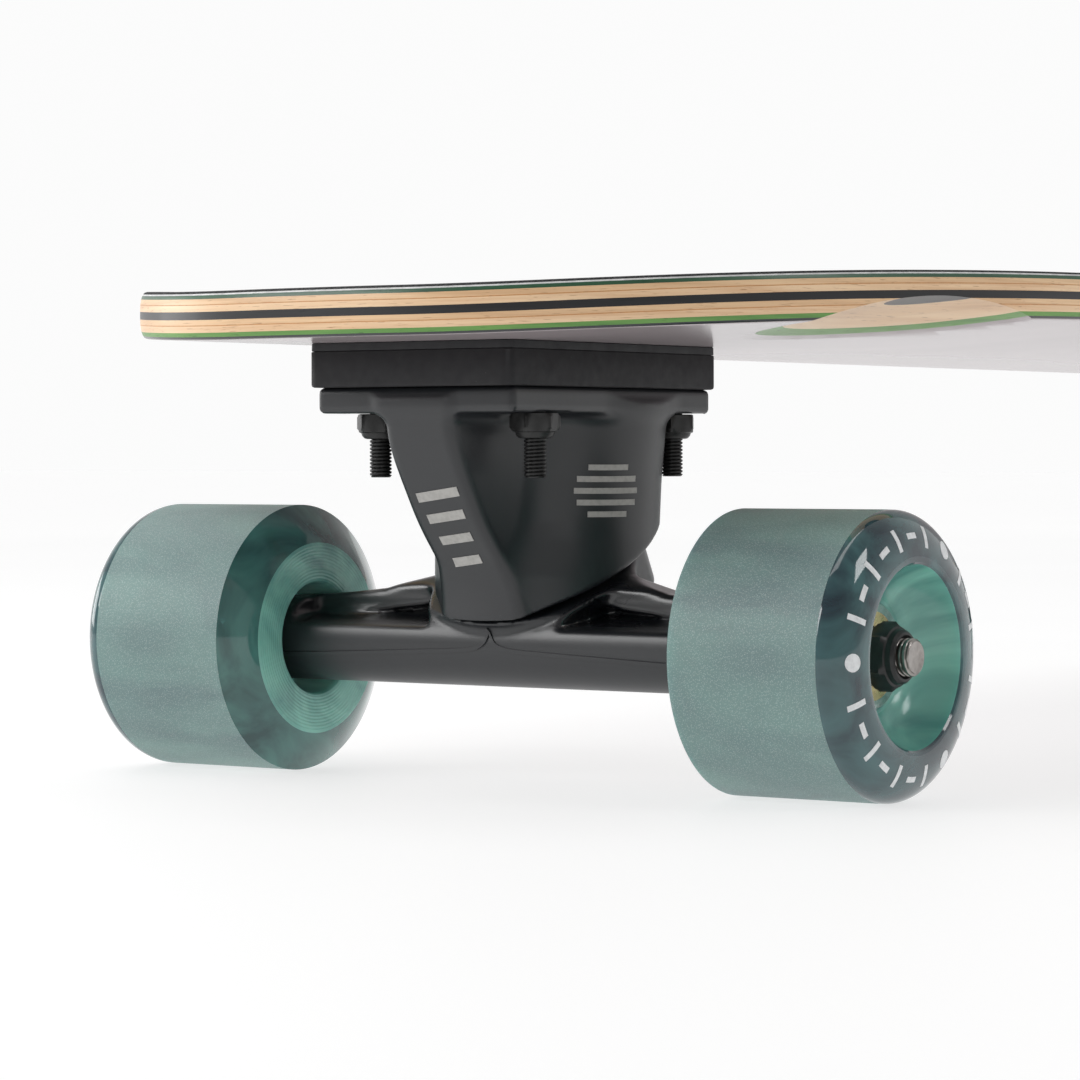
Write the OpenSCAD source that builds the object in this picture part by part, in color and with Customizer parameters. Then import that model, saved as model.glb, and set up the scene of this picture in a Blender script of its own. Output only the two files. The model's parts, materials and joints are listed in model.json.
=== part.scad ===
// Cruiser skateboard: concave laminated deck with carved wheel wells, two
// shrouded steering trucks with an inclined steering axis, four urethane wheels.
// Row frame: X along the board, Y across it, Z up, origin on the ground under
// the middle of the deck. All lengths are in millimetres.

/* [Deck] */
// Length of the deck
deck_length = 690; // [640:5:800]
// Greatest width of the deck
deck_width = 224; // [210:1:240]
// Half width of the flat strip that the trucks bolt to
flat_half = 20; // [15:1:25]
// Radius of the concave that lifts both sides of the deck
concave_radius = 690; // [500:10:900]
// Exponent of the outline along the board, higher is squarer
outline_power_x = 3.9; // [3:0.1:6]
// Exponent of the outline across the board, higher is squarer
outline_power_y = 2.65; // [2:0.05:4]

/* [Laminate] */
// Thickness of the printed base sheet
base_t = 0.6; // [0.4:0.1:1]
// Thickness of the bright accent ply
accent_t = 0.9; // [0.6:0.1:1.2]
// Thickness of each maple core ply
maple_t = 1.35; // [1:0.05:1.6]
// Thickness of the dyed middle ply
middle_t = 1.7; // [1.2:0.1:2]
// Thickness of the dyed top veneer
veneer_t = 0.8; // [0.6:0.1:1.2]
// Thickness of the grip tape
grip_t = 0.9; // [0.6:0.1:1.2]

/* [Wheel wells] */
// How far each well sits inboard of its axle
well_shift = 16; // [10:1:20]
// Height of the well cutter's axis, which lies below the ground
well_axis_z = -15; // [-20:1:-10]

/* [Trucks] */
// Distance between the two axles
wheelbase = 544; // [520:1:600]
// Diameter of the axle
axle_d = 8; // [8]
// Distance between the two ends of an axle
axle_length = 203; // [202:0.5:205]
// Width of the hanger between the speed washers
hanger_width = 133; // [132:0.5:133]
// Diameter of the hanger's beam
beam_d = 19; // [18:0.5:20]
// Tilt of the steering axis from vertical
steer_tilt = 28; // [26:1:30]
// Distance from the axle inboard to the middle of the housing
tower_offset = 13.2; // [12:0.1:14]
// Height at which the housing's slanted face crosses its middle
face_z = 50.05; // [49.5:0.05:51]
// Gap between the housing's slanted face and the hanger
face_gap = 1.2; // [0.8:0.1:1.6]
// Diameter of the kingpin
kingpin_d = 9.5; // [9:0.1:9.5]

/* [Truck mounting] */
// Bolt spacing along the board
bolt_space_x = 53.98; // [53.98]
// Bolt spacing across the board
bolt_space_y = 41.28; // [41.28]
// Distance from the axle inboard to the middle of the bolt pattern
pattern_offset = 5.73; // [5:0.01:6.5]
// Diameter of the mounting bolts
bolt_d = 4.8; // [4.8]
// Height of the mounting bolts' lower tips
bolt_tip_z = 67.5; // [66:0.5:70]
// Height of the truck flange's upper face
flange_top = 87; // [86:0.1:88]
// Thickness of the truck flange
flange_t = 5.6; // [5:0.1:6.5]
// Thickness of the riser pad between the flange and the deck
riser_t = 9.6; // [8:0.1:10]

/* [Wheels] */
// Diameter of the wheels
wheel_d = 61; // [58:0.5:62]
// Width of the flat tread
tread_w = 35.4; // [34:0.2:36]
// How far the bearings sit outboard of the middle of the tread
core_offset = 1.8; // [1.6:0.1:2]
// How far the outer side bulges past the tread
outer_bulge = 6.5; // [5:0.1:6.8]
// How far the inner side bulges past the tread
inner_bulge = 5.2; // [4:0.1:5.4]
// Radius of the outer hub cavity's lip
lip_r = 19.1; // [18:0.1:20]

/* [Bearings] */
// Outer diameter of a bearing
bearing_od = 22; // [22]
// Width of a bearing
bearing_w = 7; // [7]
// Length of the spacer between two bearings
spacer_w = 10; // [10]
// Number of balls in a bearing
ball_count = 7; // [6, 7]

/* [Hidden] */
$fn = 96;
coarse_fn = 40;
fine_fn = 720;
cut = 1;
fit_gap = 0.08;
wheel_r = wheel_d / 2;
axle_z = wheel_r;
axle_r = axle_d / 2;
beam_r = beam_d / 2;
flange_z = flange_top - flange_t;
truck_x = wheelbase / 2;
kingpin_r = kingpin_d / 2;
deck_bottom = flange_top + riser_t;

// Heights of the laminate above the underside, from the bottom up
accent_z = base_t;
lower_core_z = accent_z + accent_t;
middle_z = lower_core_z + 2 * maple_t;
upper_core_z = middle_z + middle_t;
veneer_z = upper_core_z + 2 * maple_t;
grip_z = veneer_z + veneer_t;
deck_t = grip_z + grip_t;
deck_top = deck_bottom + deck_t;
edge_rise = pow(deck_width / 2 - flat_half, 2) / concave_radius;

// Bearings sit either side of the spacer, against the washers on the hanger
washer_t = 1;
washer_r = 6;
inner_bearing_y = hanger_width / 2 + washer_t;
outer_bearing_y = inner_bearing_y + bearing_w + spacer_w;
outer_washer_y = outer_bearing_y + bearing_w;
axle_nut_y = outer_washer_y + washer_t;
axle_nut_t = 6.6;
axle_nut_r = 7.33;
axle_collar_t = 2;
axle_collar_r = 5.93;
axle_chamfer = 1;
spacer_r = axle_r + 1.4;
shield_t = 0.4;
shield_inset = 0.2;
shield_gap = 0.3;
wheel_y = inner_bearing_y + bearing_w + spacer_w / 2 - core_offset;
bearing_seat_r = bearing_od / 2;
bearing_race_r = 9.3;
inner_ring_r = 5.9;
ball_r = 1.85;
ball_ring_r = 7.6;
groove_r = 2.05;
bearing_z = [inner_bearing_y - wheel_y, outer_bearing_y - wheel_y];
hub_bore_r = 9.6;

// Sides of a wheel: the rounded lip of the outer hub cavity, the cavity's steps
// as inset from the lip and height above the bearing, and the inner opening
lip_round = 1.2;
bowl_steps = [[0, 9.8], [1.4, 5.9], [4, 1.4], [7.3, 0]];
inner_flat_r = 21.5;
inner_lip_r = 13.8;
inner_lip_round = 0.8;
inner_seat_r = 12.2;
inner_cone_share = 0.6;
side_steps = [for (i = [0:8]) i / 8];

// Housing: a drafted round tower with a nose panel, cut by the slanted face
tower_r_top = 27;
tower_r_low = 24.6;
tower_low_z = 30;
nose_half = 11;
nose_profile = [[-13, 83], [35, 83], [33.7, 80], [30.5, 73.6], [25.8, 65.2],
                [19.6, 57.5], [14.2, 49.7], [12.4, 44], [11.4, 36], [-13, 30]];
face_cut = 60;
flange_front = 37;
flange_back = 40.5;
flange_half = 26;
riser_front = 39.6;
riser_back = 42.5;
riser_half = 26.8;
corner_r = 2.6;

// Steering parts, as heights along the steering axis above the slanted face
cavity_r = 16;
seat_h = 19;
head_h = 28;
head_t = 6.2;
head_r = 8.1;
recess_r = 9.6;
recess_h = 30;
spigot_r = 8.5;
spigot_h = 16.4;
bushing_low = 1;
bushing_high = 15.6;
washer_h = 2.4;
washer_rim_r = 10;
boss_r = 21.5;
boss_low = -12.5;
boss_base = -21;
boss_base_r = 13;
nut_seat_h = -15;
nut_recess_r = 9.2;
nut_recess_h = 14;
nut_seat_gap = 0.3;
nut_t = 8;
nut_r = 8.1;
nut_collar_t = 2;
nut_collar_r = 6.6;
kingpin_low = -26.5;
kingpin_chamfer = 1;

// Webs from the boss out to the ends of the beam
wing_r = 17.5;
wing_low = -7.5;
wing_shift_y = 3;
wing_end_x = -0.5;
wing_end_y = 58;
wing_end_z = axle_z + 1;
wing_end_r = beam_r - 1.6;

// Mounting hardware
head_cone_r = 4.7;
head_cone_h = 2.9;
head_sink = 0.2;
bolt_chamfer = 0.6;
bolt_r = bolt_d / 2;
deck_nut_r = 5.5;
deck_nut_h = 5.5;
deck_nut_turn = 13;
deck_collar_h = 1.5;
deck_collar_r = 4.5;
socket_r = 7.5;
hole_gap = 0.3;
hole_r = bolt_r + hole_gap;

// Outline of the deck: a superellipse in both directions
outline_steps = 24;
concave_steps = 12;
function quarter(a) = [deck_length / 2 * pow(cos(a), 2 / outline_power_x),
                       deck_width / 2 * pow(sin(a), 2 / outline_power_y)];
quarter_pts = [for (i = [0:outline_steps]) quarter(90 * i / outline_steps)];
outline_pts = concat(
    [for (i = [0:outline_steps]) quarter_pts[i]],
    [for (i = [outline_steps - 1:-1:0]) [-quarter_pts[i][0], quarter_pts[i][1]]],
    [for (i = [1:outline_steps]) [-quarter_pts[i][0], -quarter_pts[i][1]]],
    [for (i = [outline_steps - 1:-1:1]) [quarter_pts[i][0], -quarter_pts[i][1]]]);

// Section lines of a face that lies a height above the deck's underside
concave_turn = asin((deck_width / 2 + cut - flat_half) / (concave_radius - deck_t));
function concave_point(h, a) =
    [flat_half + (concave_radius - h) * sin(a), deck_bottom + concave_radius - (concave_radius - h) * cos(a)];
function concave_half(h) = [for (i = [0:concave_steps]) concave_point(h, concave_turn * i / concave_steps)];
function reversed(points) = [for (i = [len(points) - 1:-1:0]) points[i]];
function concave_line(h) = concat([for (p = reversed(concave_half(h))) [-p[0], p[1]]], concave_half(h));

// Half section of the well cutter: distance out from the centreline and height
well_section = [[44, 96], [56, 98.2], [62, 99.3], [68, 100.5], [74, 101.8], [80, 103], [86, 104],
                [92, 104.9], [98, 105.8], [106, 106.5], [130, 108.5]];

// ---- Places ----

// The truck at one end of the board, with its own +X pointing to that end
module at_truck(end) {
    translate([end * truck_x, 0, 0])
        rotate([0, 0, end > 0 ? 0 : 180])
            children();
}

// The steering axis, with Z along it and its origin on the slanted face
module on_steering_axis() {
    translate([-tower_offset, 0, face_z])
        rotate([0, steer_tilt, 0])
            children();
}

// The axle line, with Z pointing out of the board on one side
module on_axle(side) {
    translate([0, 0, axle_z])
        rotate([-90 * side, 0, 0])
            children();
}

// One wheel, with Z pointing out of the board and its origin in mid tread
module at_wheel(end, side) {
    translate([end * truck_x, side * wheel_y, axle_z])
        rotate([-90 * side, 0, 0])
            children();
}

// The four mounting bolts of a truck
module at_bolts() {
    for (x = [-1, 1], y = [-1, 1])
        translate([x * bolt_space_x / 2 - pattern_offset, y * bolt_space_y / 2, 0])
            children();
}

module ring(outer_r, inner_r, length) {
    difference() {
        cylinder(h = length, r = outer_r);
        translate([0, 0, -cut])
            cylinder(h = length + 2 * cut, r = inner_r);
    }
}

// ---- Deck ----

// Section of one layer of the concave laminate, between two heights above
// the underside: a flat strip and a chain of narrow ones up to each side
module layer_section(low, high) {
    polygon(concat(concave_line(low), reversed(concave_line(high))));
}

module deck_layer(low, high) {
    intersection() {
        translate([-deck_length / 2 - cut, 0, 0])
            rotate([90, 0, 90])
                linear_extrude(height = deck_length + 2 * cut)
                    layer_section(low, high);
        translate([0, 0, deck_bottom - cut])
            linear_extrude(height = deck_t + edge_rise + 2 * cut)
                polygon(outline_pts);
    }
}

// Round cutter for one wheel well, coned so that it runs out inboard
module well_cutter() {
    rotate([-90, 0, 0])
        rotate_extrude($fn = fine_fn)
            polygon(concat([[0, well_section[0][0]]],
                           [for (p = well_section) [p[1] - well_axis_z, p[0]]],
                           [[0, well_section[len(well_section) - 1][0]]]));
}

module wheel_wells() {
    for (end = [-1, 1], s = [0, 1])
        mirror([0, s, 0])
            translate([end * (truck_x - well_shift), 0, well_axis_z])
                well_cutter();
}

module bolt_clearance() {
    for (end = [-1, 1])
        at_truck(end)
            at_bolts()
                translate([0, 0, deck_bottom - cut])
                    cylinder(h = deck_t + 2 * cut, r = hole_r);
}

// Countersinks for the bolt heads, in the upper layers
module countersinks() {
    for (end = [-1, 1])
        at_truck(end)
            at_bolts()
                translate([0, 0, deck_top - head_cone_h - hole_gap])
                    cylinder(h = head_cone_h + 2 * hole_gap, r1 = hole_r,
                             r2 = head_cone_r + 2 * hole_gap);
}

module upper_layer(low, high) {
    difference() {
        deck_layer(low, high);
        bolt_clearance();
        countersinks();
    }
}

module lower_layer(low, high) {
    difference() {
        deck_layer(low, high);
        bolt_clearance();
        wheel_wells();
    }
}

module grip_tape() {
    color([0.07, 0.07, 0.08])
        upper_layer(grip_z, deck_t);
}

module top_veneer() {
    color([0.16, 0.33, 0.2])
        upper_layer(veneer_z, grip_z);
}

module upper_core_top_ply() {
    color([0.86, 0.68, 0.48])
        upper_layer(upper_core_z + maple_t, veneer_z);
}

module upper_core_low_ply() {
    color([0.84, 0.65, 0.45])
        upper_layer(upper_core_z, upper_core_z + maple_t);
}

module middle_ply() {
    color([0.12, 0.12, 0.13])
        lower_layer(middle_z, upper_core_z);
}

module lower_core_top_ply() {
    color([0.86, 0.69, 0.5])
        lower_layer(lower_core_z + maple_t, middle_z);
}

module lower_core_low_ply() {
    color([0.84, 0.66, 0.46])
        lower_layer(lower_core_z, lower_core_z + maple_t);
}

module accent_ply() {
    color([0.36, 0.6, 0.25])
        lower_layer(accent_z, lower_core_z);
}

module base_sheet() {
    color([0.72, 0.68, 0.68])
        lower_layer(0, base_t);
}

// ---- Truck parts fixed to the deck ----

module rounded_plate(front, back, half, low, high) {
    translate([0, 0, low])
        linear_extrude(height = high - low) {
            translate([-back, -half + corner_r])
                square([front + back, 2 * (half - corner_r)]);
            translate([-back + corner_r, -half])
                square([front + back - 2 * corner_r, 2 * half]);
            for (x = [-back + corner_r, front - corner_r], y = [-1, 1])
                translate([x, y * (half - corner_r)])
                    circle(r = corner_r);
        }
}

module riser() {
    color([0.09, 0.09, 0.1])
        difference() {
            rounded_plate(riser_front, riser_back, riser_half, flange_top, deck_bottom);
            at_bolts()
                translate([0, 0, flange_top - cut])
                    cylinder(h = riser_t + 2 * cut, r = hole_r);
        }
}

module tower() {
    translate([-tower_offset, 0, tower_low_z])
        cylinder(h = flange_z - tower_low_z + cut, r1 = tower_r_low, r2 = tower_r_top);
    translate([0, nose_half, 0])
        rotate([90, 0, 0])
            linear_extrude(height = 2 * nose_half)
                polygon(nose_profile);
}

module housing() {
    color([0.15, 0.15, 0.16])
        difference() {
            union() {
                rounded_plate(flange_front, flange_back, flange_half, flange_z, flange_top);
                difference() {
                    tower();
                    on_steering_axis()
                        translate([-face_cut, -face_cut, -face_cut])
                            cube([2 * face_cut, 2 * face_cut, face_cut]);
                    at_bolts()
                        translate([0, 0, tower_low_z - cut])
                            cylinder(h = flange_z - tower_low_z + cut, r = socket_r);
                }
            }
            on_steering_axis() {
                translate([0, 0, -cut])
                    cylinder(h = seat_h + cut, r = cavity_r);
                cylinder(h = head_h + cut, r = kingpin_r);
                translate([0, 0, head_h])
                    cylinder(h = recess_h, r = recess_r);
            }
            at_bolts()
                translate([0, 0, flange_z - cut])
                    cylinder(h = flange_t + 2 * cut, r = hole_r);
        }
}

module kingpin() {
    color([0.3, 0.3, 0.32])
        on_steering_axis() {
            translate([0, 0, kingpin_low + kingpin_chamfer])
                cylinder(h = head_h - kingpin_low - kingpin_chamfer, r = kingpin_r);
            translate([0, 0, kingpin_low])
                cylinder(h = kingpin_chamfer, r1 = kingpin_r - kingpin_chamfer, r2 = kingpin_r);
            translate([0, 0, head_h])
                cylinder(h = head_t, r = head_r, $fn = 6);
        }
}

module kingpin_nut() {
    color([0.12, 0.12, 0.13])
        on_steering_axis()
            difference() {
                translate([0, 0, nut_seat_h - nut_seat_gap - nut_t])
                    union() {
                        translate([0, 0, nut_collar_t])
                            cylinder(h = nut_t - nut_collar_t, r = nut_r, $fn = 6);
                        cylinder(h = nut_collar_t, r = nut_collar_r);
                    }
                translate([0, 0, nut_seat_h - nut_seat_gap - nut_t - cut])
                    cylinder(h = nut_t + 2 * cut, r = kingpin_r);
            }
}

module steering_bushing() {
    color([0.5, 0.2, 0.15])
        on_steering_axis()
            translate([0, 0, bushing_low])
                ring(cavity_r, spigot_r + fit_gap, bushing_high - bushing_low);
}

module thrust_washer() {
    color([0.7, 0.52, 0.28])
        on_steering_axis()
            translate([0, 0, seat_h - washer_h])
                ring(washer_rim_r, kingpin_r + fit_gap, washer_h);
}

module deck_bolts() {
    color([0.08, 0.08, 0.09])
        at_bolts() {
            translate([0, 0, bolt_tip_z + bolt_chamfer])
                cylinder(h = deck_top - head_cone_h - bolt_tip_z - bolt_chamfer, r = bolt_r);
            translate([0, 0, bolt_tip_z])
                cylinder(h = bolt_chamfer, r1 = bolt_r - bolt_chamfer, r2 = bolt_r);
            translate([0, 0, deck_top - head_cone_h])
                cylinder(h = head_cone_h - head_sink, r1 = bolt_r, r2 = head_cone_r);
        }
}

module deck_nuts() {
    color([0.1, 0.1, 0.11])
        at_bolts()
            difference() {
                union() {
                    translate([0, 0, flange_z - deck_nut_h + deck_collar_h])
                        rotate([0, 0, deck_nut_turn])
                            cylinder(h = deck_nut_h - deck_collar_h, r = deck_nut_r, $fn = 6);
                    translate([0, 0, flange_z - deck_nut_h])
                        cylinder(h = deck_collar_h, r = deck_collar_r);
                }
                translate([0, 0, flange_z - deck_nut_h - cut])
                    cylinder(h = deck_nut_h + 2 * cut, r = bolt_r);
            }
}

// ---- Steering parts ----

// Web from the boss out to one end of the beam
module wing(side) {
    hull() {
        on_steering_axis()
            translate([0, side * wing_shift_y, wing_low])
                cylinder(h = -wing_low - face_gap, r = wing_r, $fn = coarse_fn);
        translate([wing_end_x, side * wing_end_y, wing_end_z])
            rotate([90, 0, 0])
                cylinder(h = cut, r = wing_end_r, center = true, $fn = coarse_fn);
    }
}

module hanger() {
    color([0.13, 0.13, 0.14])
        difference() {
            union() {
                on_axle(1)
                    translate([0, 0, -hanger_width / 2])
                        cylinder(h = hanger_width, r = beam_r);
                wing(-1);
                wing(1);
                on_steering_axis() {
                    translate([0, 0, boss_low])
                        cylinder(h = -boss_low - face_gap, r = boss_r);
                    translate([0, 0, boss_base])
                        cylinder(h = boss_low - boss_base, r1 = boss_base_r, r2 = boss_r);
                    translate([0, 0, boss_low])
                        cylinder(h = spigot_h - boss_low, r = spigot_r);
                }
            }
            on_axle(1)
                translate([0, 0, -hanger_width])
                    cylinder(h = 2 * hanger_width, r = axle_r);
            on_steering_axis() {
                translate([0, 0, boss_base - cut])
                    cylinder(h = spigot_h - boss_base + 2 * cut, r = kingpin_r + fit_gap);
                translate([0, 0, nut_seat_h - nut_recess_h])
                    cylinder(h = nut_recess_h, r = nut_recess_r);
            }
        }
}

module axle() {
    color([0.62, 0.62, 0.64])
        on_axle(1) {
            translate([0, 0, axle_chamfer - axle_length / 2])
                cylinder(h = axle_length - 2 * axle_chamfer, r = axle_r);
            for (s = [0, 1])
                mirror([0, 0, s])
                    translate([0, 0, axle_length / 2 - axle_chamfer])
                        cylinder(h = axle_chamfer, r1 = axle_r, r2 = axle_r - axle_chamfer);
        }
}

module axle_nuts() {
    color([0.1, 0.1, 0.11])
        for (side = [-1, 1])
            on_axle(side)
                translate([0, 0, axle_nut_y])
                    difference() {
                        union() {
                            cylinder(h = axle_nut_t - axle_collar_t, r = axle_nut_r, $fn = 6);
                            cylinder(h = axle_nut_t, r = axle_collar_r);
                        }
                        translate([0, 0, -cut])
                            cylinder(h = axle_nut_t + 2 * cut, r = axle_r);
                    }
}

module speed_washers() {
    color([0.75, 0.75, 0.77])
        for (side = [-1, 1], y = [hanger_width / 2, outer_washer_y])
            on_axle(side)
                translate([0, 0, y])
                    ring(washer_r, axle_r, washer_t);
}

module bearing_spacers() {
    color([0.72, 0.73, 0.75])
        for (side = [-1, 1])
            on_axle(side)
                translate([0, 0, inner_bearing_y + bearing_w])
                    ring(spacer_r, axle_r, spacer_w);
}

// One bearing ring with its ball groove, from z = 0 to the bearing's width
module race(outer_r, inner_r) {
    rotate_extrude()
        difference() {
            translate([inner_r, 0])
                square([outer_r - inner_r, bearing_w]);
            translate([ball_ring_r, bearing_w / 2])
                circle(r = groove_r, $fn = coarse_fn);
        }
}

module bearing_inner_rings() {
    color([0.8, 0.8, 0.82])
        for (side = [-1, 1], y = [inner_bearing_y, outer_bearing_y])
            on_axle(side)
                translate([0, 0, y])
                    race(inner_ring_r, axle_r);
}

// ---- Wheels ----

// Half section of a wheel: radius and distance outward from mid tread
module wheel_section() {
    half = tread_w / 2;
    inner_face = bearing_z[0];
    outer_face = bearing_z[1] + bearing_w;
    inner_side = -half - inner_bulge;
    dome_r = lip_r + lip_round;
    polygon(concat(
        [for (t = side_steps) [dome_r + (wheel_r - dome_r) * cos(90 * t),
                               half + outer_bulge * sin(90 * t)]],
        [for (p = bowl_steps) [lip_r - p[0], outer_face + p[1]]],
        [[bearing_seat_r, outer_face], [bearing_seat_r, outer_face - bearing_w],
         [hub_bore_r, outer_face - bearing_w], [hub_bore_r, inner_face + bearing_w],
         [bearing_seat_r, inner_face + bearing_w], [bearing_seat_r, inner_face],
         [inner_seat_r, inner_face - inner_lip_round],
         [inner_lip_r - inner_lip_round, inner_side + inner_lip_round],
         [inner_lip_r, inner_side]],
        [for (t = side_steps) [inner_flat_r + (wheel_r - inner_flat_r) * t,
                               -half - inner_bulge * (inner_cone_share * (1 - t)
                               + (1 - inner_cone_share) * sin(90 * (1 - t)))]]));
}

module wheel(end, side) {
    color([0.22, 0.45, 0.42])
        at_wheel(end, side)
            rotate_extrude()
                wheel_section();
}

module outer_rings(end, side) {
    color([0.8, 0.8, 0.82])
        at_wheel(end, side)
            for (z = bearing_z)
                translate([0, 0, z])
                    race(bearing_seat_r, bearing_race_r);
}

module shields(end, side) {
    color([0.75, 0.6, 0.3])
        at_wheel(end, side)
            for (z = bearing_z, face = [shield_inset, bearing_w - shield_inset - shield_t])
                translate([0, 0, z + face])
                    ring(bearing_race_r, inner_ring_r + shield_gap, shield_t);
}

module balls(end, side) {
    color([0.85, 0.85, 0.87])
        at_wheel(end, side)
            for (z = bearing_z, i = [0:ball_count - 1])
                rotate([0, 0, 360 * i / ball_count])
                    translate([ball_ring_r, 0, z + bearing_w / 2])
                        sphere(r = ball_r, $fn = coarse_fn);
}

// ---- One module per node ----

module front_riser() at_truck(1) riser();
module front_housing() at_truck(1) housing();
module front_kingpin() at_truck(1) kingpin();
module front_kingpin_nut() at_truck(1) kingpin_nut();
module front_steering_bushing() at_truck(1) steering_bushing();
module front_thrust_washer() at_truck(1) thrust_washer();
module front_deck_bolts() at_truck(1) deck_bolts();
module front_deck_nuts() at_truck(1) deck_nuts();
module front_hanger() at_truck(1) hanger();
module front_axle() at_truck(1) axle();
module front_axle_nuts() at_truck(1) axle_nuts();
module front_speed_washers() at_truck(1) speed_washers();
module front_bearing_spacers() at_truck(1) bearing_spacers();
module front_bearing_inner_rings() at_truck(1) bearing_inner_rings();
module rear_riser() at_truck(-1) riser();
module rear_housing() at_truck(-1) housing();
module rear_kingpin() at_truck(-1) kingpin();
module rear_kingpin_nut() at_truck(-1) kingpin_nut();
module rear_steering_bushing() at_truck(-1) steering_bushing();
module rear_thrust_washer() at_truck(-1) thrust_washer();
module rear_deck_bolts() at_truck(-1) deck_bolts();
module rear_deck_nuts() at_truck(-1) deck_nuts();
module rear_hanger() at_truck(-1) hanger();
module rear_axle() at_truck(-1) axle();
module rear_axle_nuts() at_truck(-1) axle_nuts();
module rear_speed_washers() at_truck(-1) speed_washers();
module rear_bearing_spacers() at_truck(-1) bearing_spacers();
module rear_bearing_inner_rings() at_truck(-1) bearing_inner_rings();
module front_left_wheel() wheel(1, 1);
module front_left_outer_rings() outer_rings(1, 1);
module front_left_shields() shields(1, 1);
module front_left_balls() balls(1, 1);
module front_right_wheel() wheel(1, -1);
module front_right_outer_rings() outer_rings(1, -1);
module front_right_shields() shields(1, -1);
module front_right_balls() balls(1, -1);
module rear_left_wheel() wheel(-1, 1);
module rear_left_outer_rings() outer_rings(-1, 1);
module rear_left_shields() shields(-1, 1);
module rear_left_balls() balls(-1, 1);
module rear_right_wheel() wheel(-1, -1);
module rear_right_outer_rings() outer_rings(-1, -1);
module rear_right_shields() shields(-1, -1);
module rear_right_balls() balls(-1, -1);

grip_tape();
top_veneer();
upper_core_top_ply();
upper_core_low_ply();
middle_ply();
lower_core_top_ply();
lower_core_low_ply();
accent_ply();
base_sheet();
front_riser();
front_housing();
front_kingpin();
front_kingpin_nut();
front_steering_bushing();
front_thrust_washer();
front_deck_bolts();
front_deck_nuts();
front_hanger();
front_axle();
front_axle_nuts();
front_speed_washers();
front_bearing_spacers();
front_bearing_inner_rings();
rear_riser();
rear_housing();
rear_kingpin();
rear_kingpin_nut();
rear_steering_bushing();
rear_thrust_washer();
rear_deck_bolts();
rear_deck_nuts();
rear_hanger();
rear_axle();
rear_axle_nuts();
rear_speed_washers();
rear_bearing_spacers();
rear_bearing_inner_rings();
front_left_wheel();
front_left_outer_rings();
front_left_shields();
front_left_balls();
front_right_wheel();
front_right_outer_rings();
front_right_shields();
front_right_balls();
rear_left_wheel();
rear_left_outer_rings();
rear_left_shields();
rear_left_balls();
rear_right_wheel();
rear_right_outer_rings();
rear_right_shields();
rear_right_balls();
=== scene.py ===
"""Looks of the cruiser skateboard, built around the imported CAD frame.

Lengths are millimetres, except for the studio's floor and lights, which are in metres. A mesh
is made in its own part's axes (a truck's, a wheel's or the row's), and place() sets it in the
row frame.
"""

import json
import math

import bmesh
import bpy
import numpy as np
from mathutils import Matrix, Vector


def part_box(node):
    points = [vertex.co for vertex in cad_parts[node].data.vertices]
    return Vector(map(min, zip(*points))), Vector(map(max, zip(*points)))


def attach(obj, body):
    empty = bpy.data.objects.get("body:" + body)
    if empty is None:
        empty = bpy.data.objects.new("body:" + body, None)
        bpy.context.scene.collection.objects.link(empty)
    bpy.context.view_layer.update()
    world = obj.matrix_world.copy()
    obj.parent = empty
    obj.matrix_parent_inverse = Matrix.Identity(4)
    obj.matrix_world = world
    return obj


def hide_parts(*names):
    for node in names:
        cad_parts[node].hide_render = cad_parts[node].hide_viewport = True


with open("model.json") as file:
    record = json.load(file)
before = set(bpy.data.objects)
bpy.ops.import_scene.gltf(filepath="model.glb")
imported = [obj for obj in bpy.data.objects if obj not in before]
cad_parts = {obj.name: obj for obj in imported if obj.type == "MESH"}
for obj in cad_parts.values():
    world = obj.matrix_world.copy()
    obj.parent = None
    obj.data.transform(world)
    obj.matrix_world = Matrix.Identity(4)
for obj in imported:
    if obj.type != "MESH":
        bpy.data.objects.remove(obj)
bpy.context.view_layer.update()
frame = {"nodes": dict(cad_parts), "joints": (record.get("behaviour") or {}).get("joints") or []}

MM = 0.001
TAU = 2 * math.pi


# ---- Driving dimensions, most of them read from the frame ----

def corners(node):
    """Lowest and highest corner of a CAD node, in millimetres."""
    low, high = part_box(node)
    return np.array(low) / MM, np.array(high) / MM


def middle(node):
    low, high = corners(node)
    return (low + high) / 2


AXLE = middle("front_axle")
TRUCK_X = AXLE[0]
AXLE_Z = AXLE[2]
WHEEL_LOW, WHEEL_HIGH = corners("front_left_wheel")
WHEEL_R = (WHEEL_HIGH[2] - WHEEL_LOW[2]) / 2
WHEEL_Y = 77.7
TREAD_HALF = 17.7
FLAT_R = 21.5
OUTER_BULGE = WHEEL_HIGH[1] - WHEEL_Y - TREAD_HALF
INNER_BULGE = WHEEL_Y - TREAD_HALF - WHEEL_LOW[1]
DECK_HALF_X = corners("base_sheet")[1][0]
DECK_HALF_Y = corners("base_sheet")[1][1]
DECK_BOTTOM = corners("base_sheet")[0][2]
FLANGE_TOP = corners("front_housing")[1][2]
STEER = next(j for j in frame["joints"] if j["name"] == "front_steer")
STEER_AXIS = np.array(STEER["axis"])
STEER_ORIGIN = np.array(STEER["pos_m"]) / MM - [TRUCK_X, 0, 0]


# ---- Mesh helpers ----

def matrix_mm(matrix):
    """A placement in millimetres as one in metres."""
    moved = matrix.copy()
    moved.translation = matrix.translation * MM
    return moved


def truck_place(end):
    """A truck's own axes, with +X out to its end of the board, in the row frame."""
    turn = Matrix.Rotation(0 if end > 0 else math.pi, 4, "Z")
    return Matrix.Translation((end * TRUCK_X, 0, 0)) @ turn


def wheel_place(end, side):
    """A wheel's own axes, with +Z out of the board and its origin in mid tread."""
    turn = Matrix.Rotation(-side * math.pi / 2, 4, "X")
    return Matrix.Translation((end * TRUCK_X, side * WHEEL_Y, AXLE_Z)) @ turn


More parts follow.
